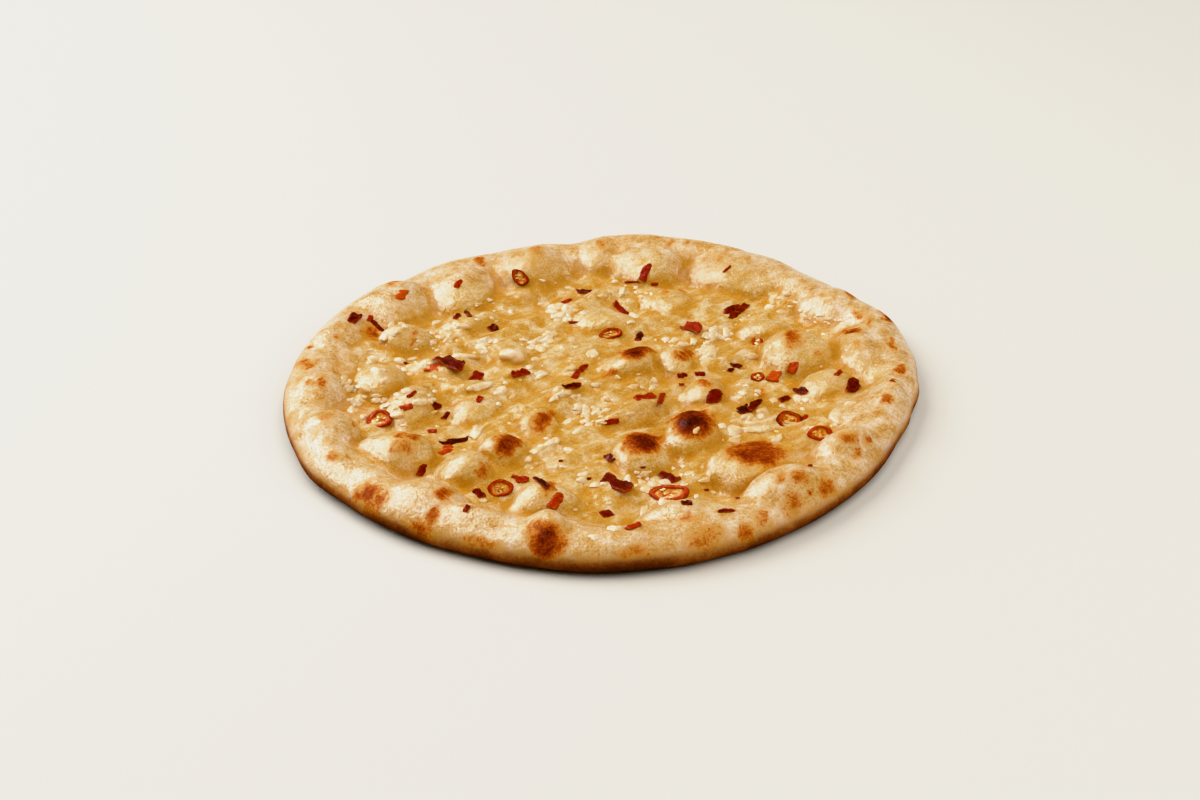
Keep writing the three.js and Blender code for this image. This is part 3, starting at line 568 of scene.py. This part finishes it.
# -------- materials
class Nodes:
    """A material's node tree, built in short lines. An input takes a value or another node's output."""

    def __init__(self, name):
        self.material = bpy.data.materials.new(name)
        self.material.use_nodes = True
        self.tree = self.material.node_tree
        self.shader = self.tree.nodes["Principled BSDF"]
        self.place = self.add("ShaderNodeTexCoord").outputs["Object"]

    def feed(self, node, inputs):
        for key, value in inputs.items():
            if isinstance(value, bpy.types.NodeSocket):
                self.tree.links.new(value, node.inputs[key])
            else:
                node.inputs[key].default_value = value

    def add(self, kind, inputs=None, **settings):
        node = self.tree.nodes.new(kind)
        for key, value in settings.items():
            setattr(node, key, value)
        self.feed(node, inputs or {})
        return node

    def set(self, **inputs):
        """The shader's inputs by name, with _ for each space."""
        self.feed(self.shader, {name.replace("_", " "): value for name, value in inputs.items()})

    def attribute(self, name):
        return self.add("ShaderNodeAttribute", attribute_name=name).outputs["Fac"]

    def noise(self, size_mm, detail=4.0, roughness=0.55, distortion=0.0, place=None):
        return self.add("ShaderNodeTexNoise", {
            "Vector": self.place if place is None else place, "Scale": 1 / (size_mm * MM),
            "Detail": detail, "Roughness": roughness, "Distortion": distortion,
        }).outputs["Fac"]

    def streaks(self, size_mm, turn, stretch):
        """Noise drawn out along a direction, given in radians from +X."""
        spun = self.add("ShaderNodeMapping", {"Vector": self.place, "Rotation": (0, 0, -turn)}).outputs[0]
        drawn = self.add("ShaderNodeVectorMath", {0: spun, 1: (1 / stretch, 1, 1)}, operation="MULTIPLY")
        return self.noise(size_mm, 3.0, 0.5, 0.3, drawn.outputs[0])

    def cells(self, size_mm):
        inputs = {"Vector": self.place, "Scale": 1 / (size_mm * MM)}
        return self.add("ShaderNodeTexVoronoi", inputs).outputs["Distance"]

    def math(self, operation, a, b, clamp=False):
        return self.add("ShaderNodeMath", {0: a, 1: b}, operation=operation, use_clamp=clamp).outputs[0]

    def total(self, *parts):
        """The sum of values, each times its share."""
        scaled = [self.math("MULTIPLY", value, share) for value, share in parts]
        result = scaled[0]
        for part in scaled[1:]:
            result = self.math("ADD", result, part)
        return result

    def product(self, *parts):
        result = parts[0]
        for part in parts[1:]:
            result = self.math("MULTIPLY", result, part)
        return result

    def centred(self, value):
        """A noise about 0 instead of about 0.5."""
        return self.math("SUBTRACT", value, 0.5)

    def range(self, value, low, high, to_low=0.0, to_high=1.0):
        return self.add("ShaderNodeMapRange", {
            "Value": value, "From Min": low, "From Max": high, "To Min": to_low, "To Max": to_high,
        }, interpolation_type="SMOOTHSTEP").outputs["Result"]

    def ramp(self, value, stops):
        node = self.add("ShaderNodeValToRGB", {"Fac": value})
        elements = node.color_ramp.elements
        while len(elements) < len(stops):
            elements.new(0.5)
        for element, (position, rgb) in zip(elements, stops):
            element.position = position
            element.color = srgb(*rgb)
        return node.outputs["Color"]

    def mix(self, factor, a, b, blend="MIX"):
        # inputs 6 and 7 and output 2 are the colours
        node = self.add("ShaderNodeMix", data_type="RGBA", blend_type=blend)
        self.feed(node, {"Factor": factor, 6: a, 7: b})
        return node.outputs[2]

    def bump(self, height, distance_mm, strength, normal=None):
        inputs = {"Height": height, "Distance": distance_mm * MM, "Strength": strength}
        if normal is not None:
            inputs["Normal"] = normal
        return self.add("ShaderNodeBump", inputs).outputs["Normal"]


def srgb(r, g, b):
    """A colour given as it looks on screen, 0 to 255, as the linear colour that a shader takes."""
    def linear(c):
        c /= 255
        return c / 12.92 if c <= 0.04045 else ((c + 0.055) / 1.055) ** 2.4
    return (linear(r), linear(g), linear(b), 1.0)


def bread_material():
    n = Nodes("crust")
    toast = n.attribute("toast")
    # wall: toast and painted shade low on the outer wall
    wall = n.attribute("wall")
    # light: paler on lumps, low in creases and at a puff's foot, where it paints shade into the colour
    light = n.attribute("light")
    broad = n.noise(30, 3)
    medium = n.noise(6, 5, 0.6)
    fine = n.noise(1.4, 5, 0.68)
    grains = n.noise(0.75, 2, 0.5)
    speck = n.noise(1.0, 2, 0.6)
    crinkle = n.noise(3.2, 4, 0.62, 0.6)

    # the dry rim, and the oily floor
    dusted = n.total((medium, 0.5), (fine, 0.3), (grains, 0.2))
    rim = n.ramp(dusted, [
        (0.35, (180, 120, 60)), (0.45, (206, 160, 96)), (0.53, (222, 188, 144)), (0.63, (240, 220, 202)),
    ])
    mottle = n.total((medium, 0.38), (fine, 0.16), (grains, 0.46))
    pulled = n.streaks(1.8, PLEAT_TURN, 4)
    # the floor is drawn paler on its lumps and darker in its creases, the latter painted shade
    spread = n.total((mottle, 0.7), (pulled, 0.25), (n.math("MAXIMUM", light, 0.25), 0.22))
    floor = n.ramp(spread, [
        (0.44, (186, 124, 54)), (0.53, (200, 152, 78)), (0.61, (208, 168, 103)), (0.74, (230, 202, 163)),
    ])
    crust = n.mix(n.attribute("oil"), rim, floor)
    # golden flush in broad areas
    crust = n.mix(n.range(broad, 0.50, 0.70, 0, 0.35), crust, srgb(196, 142, 68))
    # painted shade: darker gold in creases and round a puff's foot, partly oil gathered there
    crust = n.mix(n.range(light, 0.3, -0.4, 0, 0.62), crust, srgb(190, 132, 50))
    # fine brown freckles
    crust = n.mix(n.range(n.noise(0.9, 2, 0.5), 0.62, 0.72, 0, 0.35), crust, srgb(178, 108, 48))

    # browning, broken up by grain
    broken = n.total((n.centred(fine), 0.55), (n.centred(medium), 0.8), (n.centred(grains), 0.3))
    # the outer wall drawn darker towards the bottom: partly toast, partly painted shade where it curves
    # under
    wall_darkness = n.product(wall, n.range(broad, 0.35, 0.65, 0.66, 1.0))
    wall_toast_and_shade = n.ramp(n.math("ADD", wall_darkness, n.product(broken, 0.55)), [
        (0.0, (212, 168, 108)), (0.32, (184, 130, 80)), (0.54, (136, 80, 52)), (0.74, (92, 48, 32)),
        (1.0, (50, 24, 16)),
    ])
    crust = n.mix(n.range(wall, 0.05, 0.6), crust, wall_toast_and_shade)
    amount = n.math("ADD", toast, n.product(broken, n.range(toast, 0.02, 0.3)))
    tint = n.ramp(amount, [
        (0.0, (222, 176, 108)), (0.26, (210, 150, 76)), (0.42, (186, 108, 50)), (0.60, (150, 64, 30)),
        (0.80, (98, 33, 21)), (1.0, (48, 19, 14)),
    ])
    colour = n.mix(n.range(amount, 0.08, 0.48), crust, tint, "DARKEN")

    # oil: a clear gloss, thinner in patches, in creases, on the wall, at the back and where it browned
    wet = n.product(
        n.range(n.noise(9, 4, 0.6, 0.4), 0.40, 0.46, 0.15, 1), n.range(speck, 0.38, 0.50, 0.4, 1),
        n.range(light, -0.25, 0.5, 0.15, 1), n.range(wall, 0.2, 0.6, 1, 0), n.attribute("brushed"),
        n.math("MAXIMUM", n.range(amount, 0.10, 0.32, 1, 0.05), n.range(amount, 0.55, 0.85, 0, 0.15)),
    )
    pits = n.range(n.cells(1.7), 0.0, 0.5)
    relief = n.total((fine, 0.8), (grains, 0.3), (pits, 0.15), (speck, 0.5))
    roughness = n.math("ADD", 0.5, n.product(n.centred(fine), 0.4))
    n.set(
        Base_Color=colour, Roughness=roughness, Specular_IOR_Level=0.0,
        Coat_Weight=wet, Coat_Roughness=0.06, Coat_IOR=1.5,
        Subsurface_Weight=0.05, Subsurface_Radius=(1.0, 0.7, 0.4), Subsurface_Scale=0.0012,
        Normal=n.bump(relief, 0.35, 0.9, n.bump(crinkle, 1.1, 0.7)),
        Coat_Normal=n.bump(speck, 0.16, 0.9, n.bump(crinkle, 0.7, 0.7)),
    )
    return n.material


def garlic_material():
    n = Nodes("garlic")
    patches = n.noise(2.6, 4)
    fine = n.noise(0.7, 3)
    colour = n.ramp(n.total((patches, 0.6), (fine, 0.4)), [
        (0.34, (216, 174, 112)), (0.46, (234, 204, 160)), (0.62, (248, 231, 208)),
    ])
    colour = n.mix(n.range(n.attribute("shade"), 0.4, 1.0, 0, 0.55), colour, srgb(222, 176, 108))
    colour = n.mix(n.range(n.attribute("low"), 0.0, 0.9, 0, 0.9), colour, srgb(208, 158, 78))
    n.set(
        Base_Color=colour, Roughness=0.4, Specular_IOR_Level=0.1, Coat_Weight=0.7, Coat_Roughness=0.15,
        Subsurface_Weight=0.25, Subsurface_Radius=(1.0, 0.8, 0.5), Subsurface_Scale=0.0012,
        Normal=n.bump(fine, 0.3, 0.6), Coat_Normal=n.bump(fine, 0.3, 0.6, n.bump(patches, 0.8, 0.7)),
    )
    return n.material


def chilli_material():
    """Red skin, the tone of each piece its own, with paler flesh where it is cut and membrane inside."""
    n = Nodes("chilli")
    pulp = n.attribute("pulp")
    patches = n.noise(1.6, 4, 0.65)
    uneven = n.product(n.centred(patches), 1.3)
    skin = n.ramp(n.math("ADD", n.attribute("tone"), uneven, clamp=True), [
        (0.0, (46, 14, 8)), (0.15, (94, 14, 6)), (0.4, (124, 22, 8)), (0.7, (158, 38, 12)),
        (1.0, (186, 78, 28)),
    ])
    flesh = n.ramp(patches, [(0.35, (150, 34, 8)), (0.65, (192, 80, 26))])
    membrane = n.ramp(patches, [(0.38, (160, 60, 18)), (0.50, (206, 124, 50)), (0.62, (234, 184, 104))])
    colour = n.mix(n.range(pulp, 0.0, 0.6), skin, flesh)
    n.set(
        Base_Color=n.mix(n.range(pulp, 0.8, 1.0), colour, membrane), Roughness=0.5, Specular_IOR_Level=0.05,
        Coat_Weight=n.range(patches, 0.55, 0.61, 0, 0.5), Coat_Roughness=0.06,
        Normal=n.bump(patches, 0.4, 0.7), Coat_Normal=n.bump(patches, 1.2, 0.9),
    )
    return n.material


def seed_material():
    n = Nodes("chilli_seed")
    colour = n.ramp(n.noise(0.8, 3), [(0.35, (214, 160, 84)), (0.65, (240, 206, 140))])
    n.set(Base_Color=colour, Roughness=0.4, Coat_Weight=0.5, Coat_Roughness=0.15)
    return n.material


# -------- the bread
def make_bread():
    bread = mesh_object("naan_bread", bread_points, bread_faces)
    x, y, _ = bread_points.T
    # the oil is brushed on less thickly at the back
    point_values(
        bread, toast=browning(bread_points), oil=inside_share(x, y), wall=low_wall_toast_and_shade(bread_points),
        light=lightness_and_crease_shade, brushed=1 - 0.3 * smoothstep((y - 62) / 30),
    )
    bread.data.materials.append(bread_material())
    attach(bread, "root")
    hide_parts("naan")


# -------- what is baked on
class Joined:
    """Gathers many small shapes into one piece."""

    def __init__(self):
        self.points, self.faces, self.values = [], [], {}
        self.count = 0

    def add(self, points, faces, **values):
        self.points.append(points)
        self.faces.extend([[i + self.count for i in face] for face in faces])
        for name, value in values.items():
            self.values.setdefault(name, []).append(np.broadcast_to(value, len(points)))
        self.count += len(points)

    def finish(self, name, material, slot):
        piece = mesh_object(name, np.concatenate(self.points), self.faces)
        point_values(piece, **{key: np.concatenate(parts) for key, parts in self.values.items()})
        piece.data.materials.append(material)
        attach(piece, "root")
        return piece


def icosphere(subdivisions):
    mesh = bpy.data.meshes.new("blank")
    b = bmesh.new()
    bmesh.ops.create_icosphere(b, subdivisions=subdivisions, radius=1.0)
    b.to_mesh(mesh)
    b.free()
    points = np.array([v.co[:] for v in mesh.vertices])
    faces = [list(p.vertices) for p in mesh.polygons]
    bpy.data.meshes.remove(mesh)
    return points, faces


BALL_POINTS, BALL_FACES = icosphere(3)


def garlic_bit(length, width, random):
    """A chopped bit and its thickness: an uneven lump with two flat cuts, softened."""
    start = Vector((60 * next(random), 60 * next(random), 0))
    swell = np.array([noise.noise(Vector(v) * 1.25 + start) for v in BALL_POINTS])
    points = BALL_POINTS * (1 + 0.5 * swell)[:, None]
    for _ in range(2):
        a = 2 * math.pi * next(random)
        lift = 1.6 * next(random) - 0.8
        level = math.sqrt(1 - lift * lift)
        facing = np.array([level * math.cos(a), level * math.sin(a), lift])
        depth = 0.5 + 0.3 * next(random)
        over = np.clip(points @ facing - depth, 0, None)
        points = points - 0.7 * over[:, None] * facing
    thick = min(width, 0.8 * length) * (0.62 + 0.28 * next(random))
    return points * np.array([length, width, thick]) * 0.6, thick


def chilli_flake(length, width, random):
    """A chip of skin: an uneven outline, curled and wrinkled, under a millimetre thick. Gives its points,
    faces and how far each point shows flesh."""
    across, along = 7, 12
    thickness = 0.7

    def drawn(size, middle=0.5):
        return size * (next(random) - middle)

    u = np.linspace(-1, 1, along)
    knots = np.linspace(-1, 1, 4)
    low = np.interp(u, knots, [-(0.75 + 0.35 * next(random)) for _ in knots])
    high = np.interp(u, knots, [0.75 + 0.35 * next(random) for _ in knots])
    low += [drawn(0.22) for _ in u]
    high += [drawn(0.22) for _ in u]
    ends = 1 - 0.25 * np.abs(u) ** 8
    low, high = low * ends, high * ends
    slants = drawn(0.35), drawn(0.35)
    curl, twist, bend = drawn(1.3, 0.35), drawn(0.8), drawn(0.5)
    ripple = 6.28 * next(random)
    top, bottom, pulp = [], [], []
    for i, ui in enumerate(u):
        for j in range(across):
            v = low[i] + (high[i] - low[i]) * j / (across - 1)
            px = ui * (1 + slants[0 if ui < 0 else 1] * v) + drawn(0.05)
            z = width * 0.28 * curl * v * v + bend * 0.2 * length * px * px + twist * 0.25 * width * v * px
            z += 0.06 * width * math.sin(5 * px + 3 * v + ripple) + drawn(0.18)
            edge = abs(j / (across - 1) * 2 - 1) ** 4
            top.append([px * length / 2, v * width / 2, z + thickness * (1 - 0.5 * edge)])
            bottom.append([px * length / 2, v * width / 2, z])
            pulp.append(0.5 * max(edge, abs(ui) ** 6) * next(random))
    pulp += [0.8] * len(bottom)
    count = along * across
    grid = np.arange(count).reshape(along, across)
    faces = []
    for row, after in zip(grid, grid[1:]):
        for a, b, c, d in zip(row, after, after[1:], row[1:]):
            faces.append([a, b, c, d])
            faces.append([count + a, count + d, count + c, count + b])
    border = [*grid[0], *grid[1:, -1], *grid[-1, -2::-1], *grid[-2:0:-1, 0]]
    for a, b in zip(border, border[1:] + border[:1]):
        faces.append([a, b, count + b, count + a])
    return np.array(top + bottom), faces, np.array(pulp)


def chilli_ring(length, width, random):
    """A slice across a pod: a round wall of flesh with a thin floor of membrane set down inside it. Gives
    its points, faces and how far each point shows flesh (0.6) or membrane (1)."""
    around, section, rings = 40, 10, 4
    wall = 0.16 * min(length, width) + 0.3
    depth = 1.5
    points, pulp, faces = [], [], []
    phase = 6.28 * next(random)
    for i in range(around):
        a = 2 * math.pi * i / around
        wobble = 1 + 0.05 * math.sin(3 * a + phase) + 0.03 * math.sin(5 * a - phase)
        cx = (length / 2 - wall / 2) * wobble
        cy = (width / 2 - wall / 2) * wobble
        rise = 0.15 * math.sin(2 * a + phase)
        for j in range(section):
            b = 2 * math.pi * j / section
            sx, sz = math.cos(b), math.sin(b)
            out = 0.5 * wall * math.copysign(abs(sx) ** 0.6, sx)
            up = 0.5 * depth * math.copysign(abs(sz) ** 0.6, sz)
            points.append([(cx + out) * math.cos(a), (cy + out) * math.sin(a), up + 0.5 * depth + rise])
            pulp.append(0.6 if sx < -0.3 else 0.0)
            here, after = i * section, (i + 1) % around * section
            k = (j + 1) % section
            faces.append([here + j, after + j, after + k, here + k])
    # membrane floor, a low dished disc
    base = len(points)
    points.append([0, 0, 0.35 * depth])
    reach_x, reach_y = length / 2 - wall * 0.6, width / 2 - wall * 0.6
    for k in range(1, rings + 1):
        r = k / rings
        for i in range(around):
            a = 2 * math.pi * i / around
            z = depth * (0.35 + 0.12 * math.sin(3 * a + phase) * r)
            points.append([reach_x * r * math.cos(a), reach_y * r * math.sin(a), z])
    pulp += [1.0] * (len(points) - base)
    for i in range(around):
        j = (i + 1) % around
        faces.append([base, base + 1 + i, base + 1 + j])
        for k in range(1, rings):
            a = base + 1 + (k - 1) * around
            b = a + around
            faces.append([a + i, b + i, b + j, a + j])
    return np.array(points), faces, np.array(pulp)


def clear_of_chilli(x, y):
    rows = FLAKES + CHILLI_RINGS
    return all(math.hypot(x - row[0], y - row[1]) > CLEAR_SHARE * (row[2] + row[3]) for row in rows)


def baked_garlic():
    random = seeded(99)
    garlic = Joined()

    def drop(x, y, length, width, turn):
        place, normal = seen_at(x, y)
        points, thick = garlic_bit(length, width, random)
        low = smoothstep(0.6 - points[:, 2] / thick)
        laid = lay(points, place, normal, turn, sink=0.22 * thick)
        garlic.add(laid, BALL_FACES, low=low, shade=next(random))

    for x, y, length, width, turn in GARLIC:
        count = 1 if length < SLIVER else round(length / SLIVER_STEP)
        a = math.radians(turn)
        for i in range(count):
            step = length * ((i + 0.5) / count - 0.5)
            size = length if count == 1 else width * (1.0 + 0.4 * next(random))
            bit_x, bit_y = x + step * math.cos(a), y + step * math.sin(a)
            drop(bit_x, bit_y, size, width * (0.7 + 0.3 / count), turn)
    for x, y, half_width, half_depth, count, size in GARLIC_HEAPS:
        for _ in range(round(1.1 * count)):
            angle = 2 * math.pi * next(random)
            r = next(random) ** 0.8
            length = size * (0.45 + 0.75 * next(random))
            width = length * (0.6 + 0.35 * next(random))
            turn = 360 * next(random)
            bit_x, bit_y = x + half_width * r * math.cos(angle), y + half_depth * r * math.sin(angle)
            if clear_of_chilli(bit_x, bit_y):
                drop(bit_x, bit_y, length, width, turn)
    left = SPREAD_GARLIC
    while left:
        angle = 2 * math.pi * next(random)
        r = SPREAD_REACH * math.sqrt(next(random))
        size = 1.2 + 2.2 * next(random) ** 1.6
        x, y = r * math.cos(angle), r * math.sin(angle) + SPREAD_SHIFT
        place, _ = seen_at(x, y)
        on_puff = crown_parts(np.array([place.x]), np.array([place.y]))[1][0]
        # they roll off the puffs
        if on_puff < 0.5 and clear_of_chilli(x, y):
            drop(x, y, size, size * (0.6 + 0.35 * next(random)), 360 * next(random))
            left -= 1
    return garlic


def baked_flakes():
    random = seeded(57)
    flakes = Joined()
    for x, y, length, width, turn, tone in FLAKES:
        place, normal = seen_at(x, y)
        points, faces, pulp = chilli_flake(length, width, random)
        laid = lay(points, place, normal, turn, sink=0.1, level=0.8)
        flakes.add(laid, faces, tone=tone, pulp=pulp)
    return flakes


def baked_rings():
    """The chilli rings, and the seeds in them."""
    random = seeded(31)
    rings, seeds = Joined(), Joined()
    for x, y, length, width, turn, tone in CHILLI_RINGS:
        place, normal = seen_at(x, y)
        points, faces, pulp = chilli_ring(length, width, random)
        laid = lay(points, place, normal, turn, sink=0.2, level=0.9, lean=RING_LEAN)
        rings.add(laid, faces, tone=tone, pulp=pulp)
        for _ in range(SEEDS_A_RING):
            a = 2 * math.pi * next(random)
            reach = 0.08 + 0.2 * next(random)
            seed = BALL_POINTS * SEED_SIZE * (0.6 + 0.6 * next(random))
            spin = np.array(Matrix.Rotation(a + next(random), 3, "Z"))
            middle = length * reach * math.cos(a), width * reach * math.sin(a), SEED_LIFT
            seed = seed @ spin.T + np.array(middle)
            laid = lay(seed, place, normal, turn, sink=0.2, level=0.9, lean=RING_LEAN)
            seeds.add(laid, BALL_FACES)
    return rings, seeds


def bake_on():
    chilli = chilli_material()
    rings, seeds = baked_rings()
    baked_garlic().finish("garlic_bits", garlic_material(), "garlic")
    baked_flakes().finish("chilli_flakes", chilli, "chilli")
    rings.finish("chilli_rings", chilli, "chilli")
    seeds.finish("chilli_seeds", seed_material(), "garlic")


# -------- floor, light, camera
def make_floor():
    n = Nodes("floor")
    n.set(Base_Color=srgb(226, 222, 214), Roughness=0.85)
    size, level = 3000.0, -0.05
    corners = [[i * size, j * size, level] for i, j in ((-1, -1), (1, -1), (1, 1), (-1, 1))]
    floor = mesh_object("floor", corners, [range(4)])
    floor.data.materials.append(n.material)


def area_light(name, heading, rise, distance, size, power, colour, mirrored=True, diffuse=True):
    """A soft square panel aimed at the bread, out of the picture: heading from +X and rise in degrees,
    distance and size in metres, power in watts."""
    light = bpy.data.lights.new(name, "AREA")
    light.size = size
    light.energy = power
    light.color = colour
    lamp = new_object(name, light)
    a, b = math.radians(heading), math.radians(rise)
    out = Vector((math.cos(a) * math.cos(b), math.sin(a) * math.cos(b), math.sin(b)))
    lamp.location = out * distance
    lamp.rotation_euler = (-out).to_track_quat("-Z", "Y").to_euler()
    lamp.visible_glossy = mirrored
    lamp.visible_diffuse = diffuse
    lamp.visible_camera = False


def make_lights():
    # a wide window behind and to the left, whose mirror image lies on the slopes that face it
    area_light("window", 160, 40, 1.3, 1.6, 24, (1.0, 0.99, 0.96))
    area_light("sheen", 160, 40, 1.28, 1.6, 78, (1.0, 0.96, 0.89), diffuse=False)
    area_light("overhead", -30, 58, 1.5, 1.8, 25, (1.0, 0.97, 0.92), mirrored=False)
    world = bpy.data.worlds.new("studio")
    bpy.context.scene.world = world
    world.use_nodes = True
    background = world.node_tree.nodes["Background"]
    background.inputs["Color"].default_value = (1.0, 0.86, 0.68, 1)
    background.inputs["Strength"].default_value = 0.07


def make_camera():
    camera = bpy.data.cameras.new("camera")
    camera.lens = VIEW_LENS
    camera.sensor_width = 36
    camera.clip_start = 0.05
    eye = new_object("camera", camera)
    eye.location = VIEW_FROM * MM
    eye.rotation_euler = (VIEW_AIM - VIEW_FROM).to_track_quat("-Z", "Y").to_euler()
    bpy.context.scene.camera = eye


def make_tone():
    """The picture's tones: a soft shoulder on each channel, so that gloss on gold turns cream."""
    view = bpy.context.scene.view_settings
    view.view_transform = "Khronos PBR Neutral"
    view.use_curve_mapping = True
    curves = view.curve_mapping
    curves.use_clip = False
    brightest = 6.0
    curves.clip_max_x, curves.clip_max_y = brightest, 2.0
    shoulder = curves.curves[3]
    shoulder.points[-1].location = (brightest, 1.14)
    for x, y in ((0.6, 0.6), (0.75, 0.74), (0.9, 0.85), (1.1, 0.95), (1.5, 1.04), (2.5, 1.1)):
        shoulder.points.new(x, y)
    for point in shoulder.points:
        point.handle_type = "VECTOR"
    curves.update()


make_bread()
bake_on()
make_floor()
make_lights()
make_camera()
make_tone()
